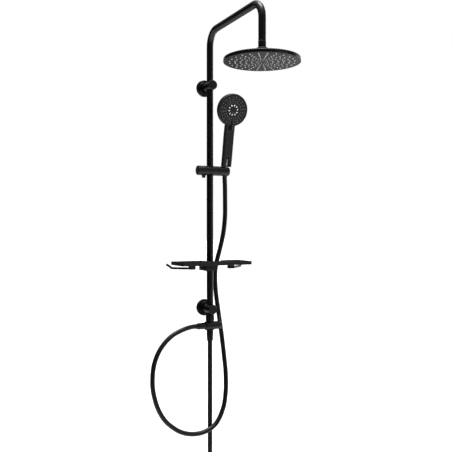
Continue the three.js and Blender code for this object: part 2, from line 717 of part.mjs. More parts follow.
const supply = () =>
  group([
    piece('supply_hose', rod(HOSE_R, SUPPLY_END - 8, SUPPLY_TOP, HOSE_SIDES), blackHose),
    unionNut(),
    piece('supply_washer', pipe(5, 9.4, SUPPLY_END - 10.4, SUPPLY_END - 8.4), rubber),
  ], [0, -RISER_OUT, 0]);

// ---------------------------------------------------------------- assembly
const column = new THREE.Group();
column.add(
  bracket('lower', 0),
  bracket('upper', BRACKET_PITCH),
  group([riser(), armTube(), armSpigot(), armSeal()], [0, -RISER_OUT, 0]),
  rainHead(),
  slider(),
  handShower(),
  diverter(),
  shelf(),
  group(handHose()),
  supply(),
);

export default column;
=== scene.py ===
"""The looks of a matt black rainfall shower column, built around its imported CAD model.

Everything is in metres in the CAD frame: +Z is up, the wall is the plane Y = 0, the user is at -Y, and
the origin is the centre of the lower wall plate's back face. Profiles are written in millimetres.
"""
import json
import math

import bpy
import bmesh
from mathutils import Matrix, Vector


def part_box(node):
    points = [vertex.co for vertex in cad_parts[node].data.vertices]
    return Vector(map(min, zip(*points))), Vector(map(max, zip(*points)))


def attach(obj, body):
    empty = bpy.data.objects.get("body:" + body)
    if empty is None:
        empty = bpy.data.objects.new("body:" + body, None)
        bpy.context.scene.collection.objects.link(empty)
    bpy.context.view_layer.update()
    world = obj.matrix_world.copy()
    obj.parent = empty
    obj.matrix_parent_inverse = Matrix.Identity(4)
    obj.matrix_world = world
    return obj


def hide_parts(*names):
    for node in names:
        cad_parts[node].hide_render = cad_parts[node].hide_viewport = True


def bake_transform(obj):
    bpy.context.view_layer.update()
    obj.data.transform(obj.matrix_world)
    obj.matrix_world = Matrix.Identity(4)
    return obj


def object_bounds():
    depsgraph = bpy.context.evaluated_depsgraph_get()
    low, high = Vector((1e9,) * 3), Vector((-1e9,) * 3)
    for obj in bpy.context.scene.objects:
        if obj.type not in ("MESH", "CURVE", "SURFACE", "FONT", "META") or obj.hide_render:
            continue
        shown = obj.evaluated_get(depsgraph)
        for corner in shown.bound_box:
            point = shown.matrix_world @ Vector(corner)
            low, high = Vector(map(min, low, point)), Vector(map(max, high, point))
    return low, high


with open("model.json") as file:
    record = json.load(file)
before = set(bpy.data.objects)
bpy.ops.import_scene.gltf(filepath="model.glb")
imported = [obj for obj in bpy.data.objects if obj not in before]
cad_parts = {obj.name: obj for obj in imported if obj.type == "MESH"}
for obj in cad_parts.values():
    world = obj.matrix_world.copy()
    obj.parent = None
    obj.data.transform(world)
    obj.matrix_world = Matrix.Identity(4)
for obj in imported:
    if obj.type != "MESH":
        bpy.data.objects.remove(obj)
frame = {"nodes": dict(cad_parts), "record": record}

cad_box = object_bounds()
MM = 0.001
X, Y, Z = Vector((1, 0, 0)), Vector((0, 1, 0)), Vector((0, 0, 1))
OUT = -Y  # out from the wall, towards the user
record = frame["record"]


# ------------------------------------------------------------------ places from the frame
def corners(node):
    low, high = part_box(node)
    return Vector(low), Vector(high)


def centre(node):
    low, high = corners(node)
    return (low + high) / 2


RISER = centre("riser_tube")
DROP = centre("swivel_nut")


def on_riser(height):
    return Vector((RISER.x, RISER.y, height))


# ------------------------------------------------------------------ camera
LENS = 52.0
SENSOR = 36.0
CAMERA_AZIMUTH = math.radians(26.4)  # to the left of straight on
CAMERA_DISTANCE = 2.176  # to the riser, along the line of sight
CAMERA_HEIGHT = 0.2758
RISER_OFFSET = -0.05346  # how far the riser stands to the right of the middle of the view
CLIP_END = 60


def make_camera():
    data = bpy.data.cameras.new("camera")
    data.lens = LENS
    data.sensor_width = SENSOR
    data.clip_end = CLIP_END
    camera = bpy.data.objects.new("camera", data)
    bpy.context.scene.collection.objects.link(camera)
    sight = Vector((math.sin(CAMERA_AZIMUTH), math.cos(CAMERA_AZIMUTH), 0))
    right = sight.cross(Z)
    camera.location = on_riser(CAMERA_HEIGHT) - sight * CAMERA_DISTANCE - right * RISER_OFFSET
    camera.rotation_euler = (math.pi / 2, 0, -CAMERA_AZIMUTH)
    bpy.context.scene.camera = camera
    return sight, right


sight, view_right = make_camera()


# ------------------------------------------------------------------ mesh helpers
CRISP_ANGLE = 35  # edges sharper than this stay crisp, degrees
CORNER_STEPS = 4  # in each rounded corner of a turned profile
OUTLINE_STEPS = 6  # in each rounded corner of an outline
ON_AXIS = 1e-6


def mesh_object(name, verts, faces):
    mesh = bpy.data.meshes.new(name)
    mesh.from_pydata([tuple(v) for v in verts], [], faces)
    mesh.validate()
    bm = bmesh.new()
    bm.from_mesh(mesh)
    bmesh.ops.recalc_face_normals(bm, faces=bm.faces)
    bm.to_mesh(mesh)
    bm.free()
    made = bpy.data.objects.new(name, mesh)
    bpy.context.scene.collection.objects.link(made)
    return shade(made)


def shade(piece):
    """Smooth faces between crisp edges."""
    mesh = piece.data
    mesh.polygons.foreach_set("use_smooth", [True] * len(mesh.polygons))
    mesh.set_sharp_from_angle(angle=math.radians(CRISP_ANGLE))
    return piece


def corner_curve(start, here, end, steps):
    """Points of a curve from start to end that bends towards the corner here."""
    shares = [k / steps for k in range(steps + 1)]
    return [start * (1 - t) ** 2 + here * 2 * t * (1 - t) + end * t * t for t in shares]


def softened(profile, radius):
    """The profile with each inner corner rounded to at most radius. A corner on the axis stays."""
    closed = profile[0][0] > 0
    count = len(profile)
    out = []
    for i, (r, h) in enumerate(profile):
        here = Vector((r, h))
        if not closed and i in (0, count - 1):
            out.append(here)
            continue
        before, after = Vector(profile[i - 1]), Vector(profile[(i + 1) % count])
        back, on = before - here, after - here
        turn = math.pi - back.angle(on)
        if turn < math.radians(12):
            out.append(here)
            continue
        reach = min(radius * math.tan(turn / 2), 0.45 * back.length, 0.45 * on.length)
        start, end = here + back.normalized() * reach, here + on.normalized() * reach
        out += corner_curve(start, here, end, CORNER_STEPS)
    return [(max(p.x, 0), p.y) for p in out], closed


def frame_matrix(origin, axis):
    """Local Z along axis, at origin."""
    turn = Z.rotation_difference(Vector(axis).normalized()).to_matrix().to_4x4()
    return Matrix.Translation(origin) @ turn


def circle(radius, steps):
    return [
        (radius * math.cos(2 * math.pi * k / steps), radius * math.sin(2 * math.pi * k / steps))
        for k in range(steps)
    ]


def add_ring(verts, ring):
    """Adds the ring's points to verts, and returns their numbers."""
    verts += ring
    return list(range(len(verts) - len(ring), len(verts)))


def add_turned(verts, profile, steps, place):
    """Adds a ring for each (radius, height) in mm, or one point on the axis, and returns the rings."""
    rings = []
    for r, h in profile:
        if r < ON_AXIS:
            ring = [Vector((0, 0, h * MM))]
        else:
            ring = [Vector((x, y, h)) * MM for x, y in circle(r, steps)]
        rings.append(add_ring(verts, [place @ v for v in ring]))
    return rings


def bridge(rings):
    """The faces from each ring to the next. Either ring may be one point."""
    faces = []
    for a, b in zip(rings, rings[1:]):
        count = max(len(a), len(b))
        if count == 1:
            continue
        for k in range(count):
            n = (k + 1) % count
            if len(a) == 1:
                faces.append((a[0], b[n], b[k]))
            elif len(b) == 1:
                faces.append((a[k], a[n], b[0]))
            else:
                faces.append((a[k], a[n], b[n], b[k]))
    return faces


def turned(name, profile, origin, axis=Z, steps=72, soft=0.4):
    """A turned piece: (radius, height) in mm from origin along axis, with corners rounded to soft mm."""
    points, closed = softened(profile, soft)
    verts = []
    rings = add_turned(verts, points, steps, frame_matrix(origin, axis))
    return mesh_object(name, verts, bridge(rings + rings[:1] if closed else rings))


def studs(name, places, profile, steps=14):
    """The same small turned shape at each place, as one mesh. The profile ends on the axis."""
    verts, faces = [], []
    for place in places:
        faces += bridge(add_turned(verts, profile, steps, place))
    return mesh_object(name, verts, faces)


def side_frames(points):
    """Two steady side directions for each point of a path."""
    count = len(points)
    tangents = [
        (points[min(i + 1, count - 1)] - points[max(i - 1, 0)]).normalized() for i in range(count)
    ]
    side = tangents[0].cross(X if abs(tangents[0].x) < 0.8 else Y).normalized()
    frames = []
    for tangent in tangents:
        side = (side - tangent * side.dot(tangent)).normalized()
        frames.append((side, tangent.cross(side)))
    return frames


def swept(name, points, sections, place=None):
    """A closed solid through the points, with an outline of (side, up) in metres at each."""
    verts, rings = [], []
    for point, (side, up), outline in zip(points, side_frames(points), sections):
        rings.append(add_ring(verts, [point + side * u + up * v for u, v in outline]))
    if place is not None:
        verts = [place @ v for v in verts]
    return mesh_object(name, verts, bridge(rings) + end_caps(rings))


def end_caps(rings):
    return [tuple(reversed(rings[0])), tuple(rings[-1])]


def prism(name, outline, low, high, place=None):
    """An outline of (x, y) points, raised from low to high."""
    count = len(outline)
    verts = [Vector((x, y, z)) for z in (low, high) for x, y in outline]
    faces = [tuple(range(count - 1, -1, -1)), tuple(range(count, 2 * count))]
    faces += [(k, (k + 1) % count, count + (k + 1) % count, count + k) for k in range(count)]
    if place is not None:
        verts = [place @ v for v in verts]
    return mesh_object(name, verts, faces)


def rounded_outline(points, radii):
    """A closed outline with each of its corners rounded to its own radius."""
    out = []
    count = len(points)
    for i, (point, radius) in enumerate(zip(points, radii)):
        here, before, after = Vector(point), Vector(points[i - 1]), Vector(points[(i + 1) % count])
        back, on = before - here, after - here
        turn = math.pi - back.angle(on)
        reach = min(radius * math.tan(turn / 2), 0.48 * back.length, 0.48 * on.length)
        start, end = here + back.normalized() * reach, here + on.normalized() * reach
        out += [tuple(p) for p in corner_curve(start, here, end, OUTLINE_STEPS)]
    return out


def apply_modifiers(piece):
    graph = bpy.context.evaluated_depsgraph_get()
    mesh = bpy.data.meshes.new_from_object(piece.evaluated_get(graph))
    old = piece.data
    piece.modifiers.clear()
    piece.data = mesh
    bpy.data.meshes.remove(old)


def combined(piece, tools, operation):
    for tool in tools:
        change = piece.modifiers.new("change", "BOOLEAN")
        change.object = tool
        change.operation = operation
        change.solver = "EXACT"
        apply_modifiers(piece)
    for tool in tools:
        old = tool.data
        bpy.data.objects.remove(tool)
        bpy.data.meshes.remove(old)
    return shade(piece)


def cut(piece, *tools):
    return combined(piece, tools, "DIFFERENCE")


def joined(piece, *tools):
    return combined(piece, tools, "UNION")


def bevelled(piece, width, segments=3, angle=CRISP_ANGLE):
    """The piece with its edges sharper than angle rounded."""
    bevel = piece.modifiers.new("bevel", "BEVEL")
    bevel.width = width
    bevel.segments = segments
    bevel.limit_method = "ANGLE"
    bevel.angle_limit = math.radians(angle)
    apply_modifiers(piece)
    return shade(piece)


def rod(radius, low, high, origin, axis=Z, steps=64):
    """A plain turned tool for cutting, in mm."""
    return turned("tool", [(0, low), (radius, low), (radius, high), (0, high)], origin, axis, steps, 0)


# ------------------------------------------------------------------ materials
NOISE_LOW, NOISE_HIGH = 0.3, 0.7  # nearly all of a noise lies between these
BUMP_DEPTH = 0.0001


class Nodes:
    """A material whose node graph is written in a few calls."""

    def __init__(self, name):
        self.material = bpy.data.materials.new(name)
        self.material.use_nodes = True
        self.tree = self.material.node_tree
        self.tree.nodes.clear()
        self.shader = self.add("ShaderNodeBsdfPrincipled")
        output = self.add("ShaderNodeOutputMaterial")
        self.link(self.shader.outputs["BSDF"], output.inputs["Surface"])
        self.place = self.add("ShaderNodeTexCoord").outputs["Object"]

    def add(self, kind):
        return self.tree.nodes.new(kind)

    def link(self, a, b):
        self.tree.links.new(a, b)

    def noise(self, scale, detail, roughness=0.5, stretch=None):
        noise = self.add("ShaderNodeTexNoise")
        noise.inputs["Scale"].default_value = scale
        noise.inputs["Detail"].default_value = detail
        noise.inputs["Roughness"].default_value = roughness
        source = self.place
        if stretch:
            mapping = self.add("ShaderNodeMapping")
            mapping.inputs["Scale"].default_value = stretch
            self.link(source, mapping.inputs["Vector"])
            source = mapping.outputs["Vector"]
        self.link(source, noise.inputs["Vector"])
        return noise.outputs["Fac"]

    def ramp(self, value, low, high):
        ramp = self.add("ShaderNodeValToRGB")
        first, last = ramp.color_ramp.elements
        first.position, last.position = NOISE_LOW, NOISE_HIGH
        first.color, last.color = (*low, 1), (*high, 1)
        self.link(value, ramp.inputs["Fac"])
        return ramp.outputs["Color"]

    def spread(self, value, low, high):
        change = self.add("ShaderNodeMapRange")
        change.inputs["From Min"].default_value = NOISE_LOW
        change.inputs["From Max"].default_value = NOISE_HIGH
        change.inputs["To Min"].default_value = low
        change.inputs["To Max"].default_value = high
        self.link(value, change.inputs["Value"])
        return change.outputs["Result"]

    def bump(self, value, strength, distance=BUMP_DEPTH):
        bump = self.add("ShaderNodeBump")
        bump.inputs["Strength"].default_value = strength
        bump.inputs["Distance"].default_value = distance
        self.link(value, bump.inputs["Height"])
        self.link(bump.outputs["Normal"], self.shader.inputs["Normal"])


def coated(name, base, lift, rough, grain, strength=0.12):
    """A colour that varies by a share of lift, with a fine grain: paint, plastic and rubber alike."""
    nodes = Nodes(name)
    cloud = nodes.noise(9, 5)
    low = tuple(c * (1 - lift) for c in base)
    high = tuple(c * (1 + lift) for c in base)
    nodes.link(nodes.ramp(cloud, low, high), nodes.shader.inputs["Base Color"])
    nodes.link(nodes.spread(nodes.noise(60, 6), *rough), nodes.shader.inputs["Roughness"])
    nodes.bump(nodes.noise(grain, 3, 0.6), strength)
    return nodes.material


def turned_metal(name, low, high, rough):
    """Bare metal with fine lathe marks."""
    nodes = Nodes(name)
    marks = nodes.noise(500, 4, 0.6, (1, 1, 0.08))
    nodes.link(nodes.ramp(marks, low, high), nodes.shader.inputs["Base Color"])
    nodes.link(nodes.spread(marks, *rough), nodes.shader.inputs["Roughness"])
    nodes.shader.inputs["Metallic"].default_value = 1
    nodes.bump(marks, 0.08)
    return nodes.material


LOOKS = {
    "black_coat": coated("black_coat", (0.0016, 0.0016, 0.0018), 0.12, (0.27, 0.33), 900, 0.03),
    "black_plastic": coated("black_plastic", (0.006, 0.006, 0.0063), 0.12, (0.36, 0.44), 700, 0.05),
    "black_hose": coated("black_hose", (0.0045, 0.0045, 0.005), 0.15, (0.30, 0.40), 700, 0.1),
    "brass": turned_metal("brass", (0.55, 0.38, 0.15), (0.68, 0.5, 0.24), (0.25, 0.4)),
    "steel": turned_metal("steel", (0.45, 0.46, 0.47), (0.6, 0.61, 0.62), (0.25, 0.4)),
    "nylon": coated("nylon", (0.72, 0.72, 0.69), 0.03, (0.5, 0.6), 500),
    "seal_rubber": coated("seal_rubber", (0.02, 0.02, 0.02), 0.1, (0.7, 0.8), 500, 0.2),
    "nozzle_silicone": coated("nozzle_silicone", (0.34, 0.34, 0.335), 0.06, (0.5, 0.62), 600, 0.1),
}
PALE_NOZZLE = coated("pale_nozzle", (0.78, 0.78, 0.77), 0.03, (0.35, 0.45), 600, 0.1)
# Face plates: the black coat made several times lighter, painted light that stands in for the pale floor
# reflected from below.
FACE_BLACK_PAINTED_LIGHT = coated("face_black_painted_light", (0.0095, 0.0095, 0.01), 0.1, (0.40, 0.50), 800, 0.12)

node_slot = {part["node"]: part["material_slot"] for part in record["subparts"]}
node_body = {node: body for body, nodes in record["behaviour"]["bodies"].items() for node in nodes}
for node, shown in frame["nodes"].items():
    shown.data.materials.clear()
    shown.data.materials.append(LOOKS[node_slot[node]])


def stand_for(piece, node, material=None):
    """The piece rides where the CAD node rides, takes its slot, and is shown in its place."""
    piece.data.materials.append(material or LOOKS[node_slot[node]])
    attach(piece, node_body[node])
    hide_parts(node)


def add_to(piece, body, slot, material=None):
    """A further piece, with no CAD node of its own."""
    piece.data.materials.append(material or LOOKS[slot])
    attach(piece, body)


# ------------------------------------------------------------------ hoses
HOSE_R = 7.75
FIT = 0.3  # between pieces that touch, mm
HOSE_BORE = HOSE_R + FIT  # of the nuts that the hoses run into
HOSE_SIDES = 28
HOSE_STEP = 5.0
SPAN_STEPS = 40  # of the fine curve between two corners of a route
# The free hose: from the seat of the hand shower, down the column, round the loop to the outlet, in mm.
HAND_HOSE = [
    (57, -47.8, 451.1), (57.1, -45, 440), (58.2, -43.3, 430), (59.8, -41.5, 416), (62, -38, 388),
    (64.3, -34, 352), (65.4, -31, 310), (60.5, -29, 255), (48.4, -28, 201), (35, -28, 154),
    (29.6, -28, 120), (29.4, -28, 95), (32.5, -28, 50), (40, -28, -2), (48.6, -28, -57),
    (55, -31, -111), (59, -37, -165),
    (60.3, -46, -218), (55.5, -56, -282), (42.5, -63, -333), (12, -68.5, -380.5), (-30, -70, -400.5),
    (-69, -69.5, -402.5), (-105, -68, -393.5), (-134, -65, -376.5), (-165, -62, -347.3),
    (-188.5, -59, -305), (-202, -56, -253), (-204, -54, -215), (-197, -52, -165), (-175, -51, -118.5),
    (-138, -50, -82), (-95, -50, -62.6), (-65, -50, -56.1), (-46, -50, -55.7),
]
# Where one stretch meets the next, and the bodies that each stretch runs between.
HOSE_CUTS = [0, 0.085, 0.165, 0.62, 1]
HOSE_BODIES = [("hand_shower", "hand_seat"), ("hand_seat", "slider"), ("slider", "column"), ("column",)]


def smooth_route(corner_points, step):
    """Points every step along a centripetal Catmull-Rom curve through the corners."""
    p = [Vector(c) for c in corner_points]
    p = [p[0] * 2 - p[1], *p, p[-1] * 2 - p[-2]]
    fine = []
    for a, b, c, d in zip(p, p[1:], p[2:], p[3:]):
        ta, tb, tc = math.sqrt((b - a).length), math.sqrt((c - b).length), math.sqrt((d - c).length)
        start = ((b - a) / ta - (c - a) / (ta + tb) + (c - b) / tb) * tb
        end = ((c - b) / tb - (d - b) / (tb + tc) + (d - c) / tc) * tb
        for k in range(SPAN_STEPS):
            t = k / SPAN_STEPS
            fine.append(
                b * (2 * t**3 - 3 * t * t + 1)
                + start * (t**3 - 2 * t * t + t)
                + c * (3 * t * t - 2 * t**3)
                + end * (t**3 - t * t)
            )
    fine.append(p[-2])
    return even(fine, step)


def even(points, step):
    """The same line with its points evenly spaced, near enough step apart."""
    run = [0.0]
    for a, b in zip(points, points[1:]):
        run.append(run[-1] + (b - a).length)
    count = max(1, round(run[-1] / step))
    out, i = [], 0
    for k in range(count + 1):
        want = run[-1] * k / count
        while i < len(run) - 2 and run[i + 1] < want:
            i += 1
        share = (want - run[i]) / (run[i + 1] - run[i])
        out.append(points[i].lerp(points[i + 1], share))
    return out


def length_of(points):
    return sum((b - a).length for a, b in zip(points, points[1:]))


def hose_tube(name, points, frames, start):
    """A closed tube in metres. Its texture's second coordinate is the distance along the hose, in cm."""
    verts, rings = [], []
    for point, (side, up) in zip(points, frames):
        outline = circle(HOSE_R * MM, HOSE_SIDES)
        rings.append(add_ring(verts, [point + side * u + up * v for u, v in outline]))
    tube = mesh_object(name, verts, bridge(rings) + end_caps(rings))
    spacing = length_of(points) / (len(points) - 1)
    layer = tube.data.uv_layers.new(name="along")
    for loop in tube.data.loops:
        ring, k = divmod(loop.vertex_index, HOSE_SIDES)
        layer.data[loop.index].uv = (k / HOSE_SIDES, (start + ring * spacing) * 100)
    return tube


def ribbed_hose():
    """Satin black sleeve over a fine wound rib."""
    nodes = Nodes("ribbed_hose")
    along = nodes.add("ShaderNodeTexCoord").outputs["UV"]
    wave = nodes.add("ShaderNodeTexWave")
    wave.bands_direction = "Y"
    wave.inputs["Scale"].default_value = 1.3
    nodes.link(along, wave.inputs["Vector"])
    cloud = nodes.noise(25, 4)
    nodes.link(
        nodes.ramp(cloud, (0.0012, 0.0012, 0.0014), (0.002, 0.002, 0.0023)),
        nodes.shader.inputs["Base Color"],
    )
    nodes.link(nodes.spread(cloud, 0.34, 0.42), nodes.shader.inputs["Roughness"])
    nodes.bump(wave.outputs["Fac"], 0.12, 0.0003)
    return nodes.material


def hand_hose():
    line = [p * MM for p in smooth_route(HAND_HOSE, HOSE_STEP)]
    frames = side_frames(line)
    last = len(line) - 1
    marks = [round(share * last) for share in HOSE_CUTS]
    spacing = length_of(line) / last
    for i, bodies in enumerate(HOSE_BODIES):
        a, b = marks[i], marks[i + 1]
        stretch = line[a : b + 1]
        tube = hose_tube(f"hose_stretch_{i + 1}", stretch, frames[a : b + 1], a * spacing)
        tube.data.materials.append(HOSE_LOOK)
        if len(bodies) == 2:
            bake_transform(tube)
        else:
            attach(tube, bodies[0])
        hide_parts(f"hand_hose_{i + 1}")


def supply_hose():
    low, high = corners("supply_hose")
    line = even([on_riser(high.z), on_riser(low.z)], HOSE_STEP * MM)
    tube = hose_tube("supply_tube", line, side_frames(line), 0)
    tube.data.materials.append(HOSE_LOOK)
    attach(tube, "column")
    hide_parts("supply_hose")
    nut_low, nut_high = corners("supply_union_nut")
    bottom, top = nut_low.z / MM, nut_high.z / MM
    nut = turned("union_nut", [
        (HOSE_BORE, top), (HOSE_BORE, top - 8), (9.8, top - 8), (9.8, bottom), (11.6, bottom),
        (12, bottom + 0.6), (12, top - 6), (9.6, top - 1.5), (9.2, top),
    ], on_riser(0))
    flats(nut, on_riser(0), 11.3, bottom, top - 8)
    stand_for(nut, "supply_union_nut")


def flats(nut, axis_point, across, low, high):
    """Six spanner flats on the nut, across mm from its axis."""
    for k in range(6):
        turn = Matrix.Rotation(math.pi / 3 * k, 4, "Z")
        block = [(across * MM, -0.02), (0.03, -0.02), (0.03, 0.02), (across * MM, 0.02)]
        tool = prism("tool", block, (low - 1) * MM, high * MM, Matrix.Translation(axis_point) @ turn)
        cut(nut, tool)


HOSE_LOOK = ribbed_hose()
hand_hose()
supply_hose()


# ------------------------------------------------------------------ wall brackets
ROUND = 96  # sides of the larger round pieces
BAR_R = 15.7
BAR_END = 68.5
CAP_SEAT = BAR_END - 5.5
CAP_END = BAR_END + 6.7
TUBE_R = 11.1
TUBE_BORE = 9.4
TUBE_SIDES = 64
ARM_BEND = 0.050
BEND_STEPS = 28


def bracket(side):
    wall = Vector((RISER.x, 0, centre(f"{side}_wall_plate").z))
    rosette = turned(f"{side}_dish", [
        (26.6, 0.3), (28.2, 0.3), (28.2, 6.4), (27.6, 8.6), (26, 9.8), (24.2, 10), (23.2, 9.2),
        (22.8, 7.4), (21.2, 7.4), (20.8, 9.6), (19.6, 11.2), (16, 11.4), (16, 6.6), (25.8, 6.6),
        (26.6, 5.8),
    ], wall, OUT, ROUND, 0.5)
    stand_for(rosette, f"{side}_rosette")
    bar = turned(f"{side}_bar", [
        (0, 22.5), (9.3, 22.5), (9.3, 5.3), (BAR_R, 5.3), (BAR_R, BAR_END), (8.3, BAR_END),
        (8.3, CAP_SEAT), (0, CAP_SEAT),
    ], wall, OUT, ROUND, 0.15)
    riser_hole = rod(TUBE_R + FIT, -20, 20, wall - OUT * RISER.y)
    screw_hole = rod(2.8, -20, -2, wall + OUT * 14 * MM, steps=24)
    stand_for(cut(bar, riser_hole, screw_hole), f"{side}_bracket_body")
    cap = turned(f"{side}_cap", [
        (0, CAP_SEAT + 0.5), (8, CAP_SEAT + 0.5), (8, BAR_END + FIT), (BAR_R, BAR_END + FIT),
        (BAR_R, CAP_END - 1.8), (BAR_R - 0.7, CAP_END - 0.4), (BAR_R - 1.6, CAP_END), (0, CAP_END),
    ], wall, OUT, ROUND, 0.5)
    stand_for(cap, f"{side}_bracket_cap")


bracket("lower")
bracket("upper")


# ------------------------------------------------------------------ riser and arm
def tube_along(name, line):
    """A tube with a wall and open ends, along points in metres."""
    verts, outer, inner = [], [], []
    for point, (side, up) in zip(line, side_frames(line)):
        for rings, radius in ((outer, TUBE_R), (inner, TUBE_BORE)):
            outline = circle(radius * MM, TUBE_SIDES)
            rings.append(add_ring(verts, [point + side * u + up * v for u, v in outline]))
    faces = bridge(outer) + bridge(inner)
    faces += bridge([outer[0], inner[0]]) + bridge([outer[-1], inner[-1]])
    return mesh_object(name, verts, faces)


def riser():
    low, high = corners("riser_tube")
    stand_for(tube_along("riser", [on_riser(low.z), on_riser(high.z)]), "riser_tube")


def arm():
    low, high = corners("arm_tube")
    level = high.z - TUBE_R * MM
    drop_y = low.y + TUBE_R * MM
    line = [on_riser(corners("riser_tube")[1].z + FIT * MM)]
    for pivot, first in ((RISER.y - ARM_BEND, 0), (drop_y + ARM_BEND, math.pi / 2)):
        for k in range(BEND_STEPS + 1):
            angle = first + math.pi / 2 * k / BEND_STEPS
            y = pivot + ARM_BEND * math.cos(angle)
            z = level - ARM_BEND + ARM_BEND * math.sin(angle)
            line.append(Vector((RISER.x, y, z)))
    line.append(Vector((RISER.x, drop_y, corners("swivel_nut")[1].z + FIT * MM)))
    stand_for(tube_along("arm", line), "arm_tube")


riser()
arm()


# ------------------------------------------------------------------ rain head
BALL = Vector((DROP.x, DROP.y, corners("swivel_nut")[0].z - 10.8 * MM))
HEAD_R = 111
FACE_H = (corners("head_face")[0].z - BALL.z) / MM
HEAD_SIDES = 180
HEAD_NOZZLE_RAYS = 24
HEAD_NOZZLE_PITCH = 15.5  # from ring to ring
HEAD_NOZZLE_WIDTHS = (0.55, 0.65, 0.8, 0.95, 1.05, 1.05)  # a share of the whole width, ring by ring
HEAD_RAY_PHASE = math.radians(6)


def rain_head():
    nut = turned("head_nut", [
        (5.3, 10.8), (11, 10.8), (11.6, 11.4), (11.6, 26.4), (11.1, 27), (8.3, 27), (8.3, 14.8),
        (5.3, 14.8),
    ], BALL, steps=ROUND)
    stand_for(nut, "swivel_nut")
    collar = turned("head_flare", [
        (9.7, -12), (9.7, 0), (9.2, 3.4), (7.6, 6.3), (8.3, 8), (9.8, 8.2), (13.5, 7.4), (17.6, 6.0),
        (18, 5.4), (18, -5.7), (11.7, -5.7), (11.7, -12),
    ], BALL, steps=ROUND)
    stand_for(collar, "head_collar")
    shell = turned("head_dome", [
        (12, -8), (12, -6), (18, -6), (26, -7.2), (42, -12), (60, -16.8), (80, -19.6), (98, -21.2),
        (108, -22), (110.1, -22.9), (HEAD_R, -24.8), (HEAD_R, FACE_H), (109.3, FACE_H), (109.3, -23.7),
        (60, -18.8), (24, -8.2),
    ], BALL, steps=HEAD_SIDES, soft=1.0)
    stand_for(shell, "head_shell")
    face = turned("head_plate", [
        (0, FACE_H + 0.5), (102.5, FACE_H + 0.5), (106.5, FACE_H + 0.4), (108.9, FACE_H),
        (108.9, FACE_H + 2.1), (0, FACE_H + 2.1),
    ], BALL, steps=HEAD_SIDES, soft=0.3)
    # The rain-head face plate takes the lighter black, with light from below painted into its colour.
    stand_for(face, "head_face", FACE_BLACK_PAINTED_LIGHT)
    places = []
    for ring, width in enumerate(HEAD_NOZZLE_WIDTHS, start=1):
        radius = HEAD_NOZZLE_PITCH * ring * MM
        for ray in range(0, HEAD_NOZZLE_RAYS, 2 if ring == 1 else 1):
            angle = HEAD_RAY_PHASE - CAMERA_AZIMUTH + 2 * math.pi * ray / HEAD_NOZZLE_RAYS
            x, y = radius * math.cos(angle), radius * math.sin(angle)
            spot = BALL + Vector((x, y, (FACE_H + 0.6) * MM))
            places.append(frame_matrix(spot, -Z) @ Matrix.Diagonal((width, width, 1, 1)))
    nozzles = studs("head_nozzles", places, [
        (0, 0), (2.4, 0), (2.2, 0.6), (1.7, 1.9), (1.3, 2.3), (0, 2.2),
    ])
    add_to(nozzles, "rain_head", "nozzle_silicone")


rain_head()


# ------------------------------------------------------------------ slider
SLIDER = on_riser(centre("slider_end_cap").z)
SLIDER_R = 15.9
BUTTON_AT = SLIDER - X * 23 * MM


def slider():
    body = turned("slider_barrel", [
        (0, -33.5), (8.3, -33.5), (8.3, -38), (SLIDER_R, -38), (SLIDER_R, 27.5), (3.3, 27.5),
        (3.3, 15), (0, 15),
    ], SLIDER, X, ROUND, 0.25)
    bush_hole = rod(12.9, -20, 20, SLIDER)
    pocket = rod(7.3, -20, -2.5, BUTTON_AT)
    stand_for(cut(body, bush_hole, pocket), "slider_body")
    cap = turned("slider_cap", [
        (0, -45.9), (10.6, -45.9), (10.9, -45.3), (11.7, -45.3), (12, -46.2), (14.1, -46.2),
        (SLIDER_R, -44.6), (SLIDER_R, -38.3), (8, -38.3), (8, -34), (0, -34),
    ], SLIDER, X, ROUND, 0.3)
    stand_for(cap, "slider_end_cap")
    button = turned("release_lever", [
        (0, -24.2), (4.9, -24.2), (5.5, -23.4), (5.6, -21.2), (6.8, -17.2), (7, -15), (7, -9.5),
        (0, -9.5),
    ], BUTTON_AT, Z, 48, 0.4)
    notch = prism(
        "tool", [(-0.0013, -0.01), (0.0013, -0.01), (0.0013, 0.01), (-0.0013, 0.01)],
        -0.026, -0.0213, Matrix.Translation(BUTTON_AT),
    )
    stand_for(cut(button, notch), "release_button")


slider()


# ------------------------------------------------------------------ hand shower and its seat
TILT = math.radians(14)
HAND_X = 57.0
SEAT_END = 68.2
SEAT = Matrix.Translation(SLIDER) @ Matrix.Rotation(TILT, 4, "X")
HAND = SEAT @ Matrix.Translation((HAND_X * MM, 0, 0))
SPRAY_UP = 205.5  # the middle of the spray disc, along the handle from the seat
SPRAY_SIDES = 144
HAND_OUT = (SEAT.to_3x3() @ OUT).normalized()
HAND_UP = (SEAT.to_3x3() @ Z).normalized()
SPRAY = HAND @ Vector((0, 0, SPRAY_UP * MM))


def seat():
    axis = (SEAT.to_3x3() @ X).normalized()
    barrel = turned("seat_barrel", [
        (0, 27.8), (SLIDER_R, 27.8), (SLIDER_R, SEAT_END - 2), (SLIDER_R - 0.6, SEAT_END - 0.6),
        (SLIDER_R - 2, SEAT_END), (0, SEAT_END),
    ], SLIDER, axis, ROUND, 0.4)
    taper = [(0, -20), (9.45, -20), (11.9, 20), (0, 20)]
    cone = turned("tool", taper, HAND.translation, HAND_UP, 64, 0)
    half = (HOSE_R + FIT) * MM
    out = (SEAT_END + 5 - HAND_X) * MM
    slot = prism("tool", [(0, -half), (out, -half), (out, half), (0, half)], -0.02, 0.02, HAND)
    head_pocket = rod(5.8, 33, HAND_X, SLIDER, axis, 32)
    shank_hole = rod(3.3, 20, HAND_X, SLIDER, axis, 32)
    stand_for(cut(barrel, cone, slot, head_pocket, shank_hole), "hand_seat")


def hose_nut():
    nut = turned("cone_nut", [
        (HOSE_BORE, -16), (9.1, -16), (9.4, -15.4), (11.05, 12.6), (10.6, 13.8), (8.3, 13.8),
        (8.3, -8.6), (HOSE_BORE, -8.6),
    ], HAND.translation, HAND_UP, 72, 0.4)
    stand_for(nut, "hose_cone_nut")


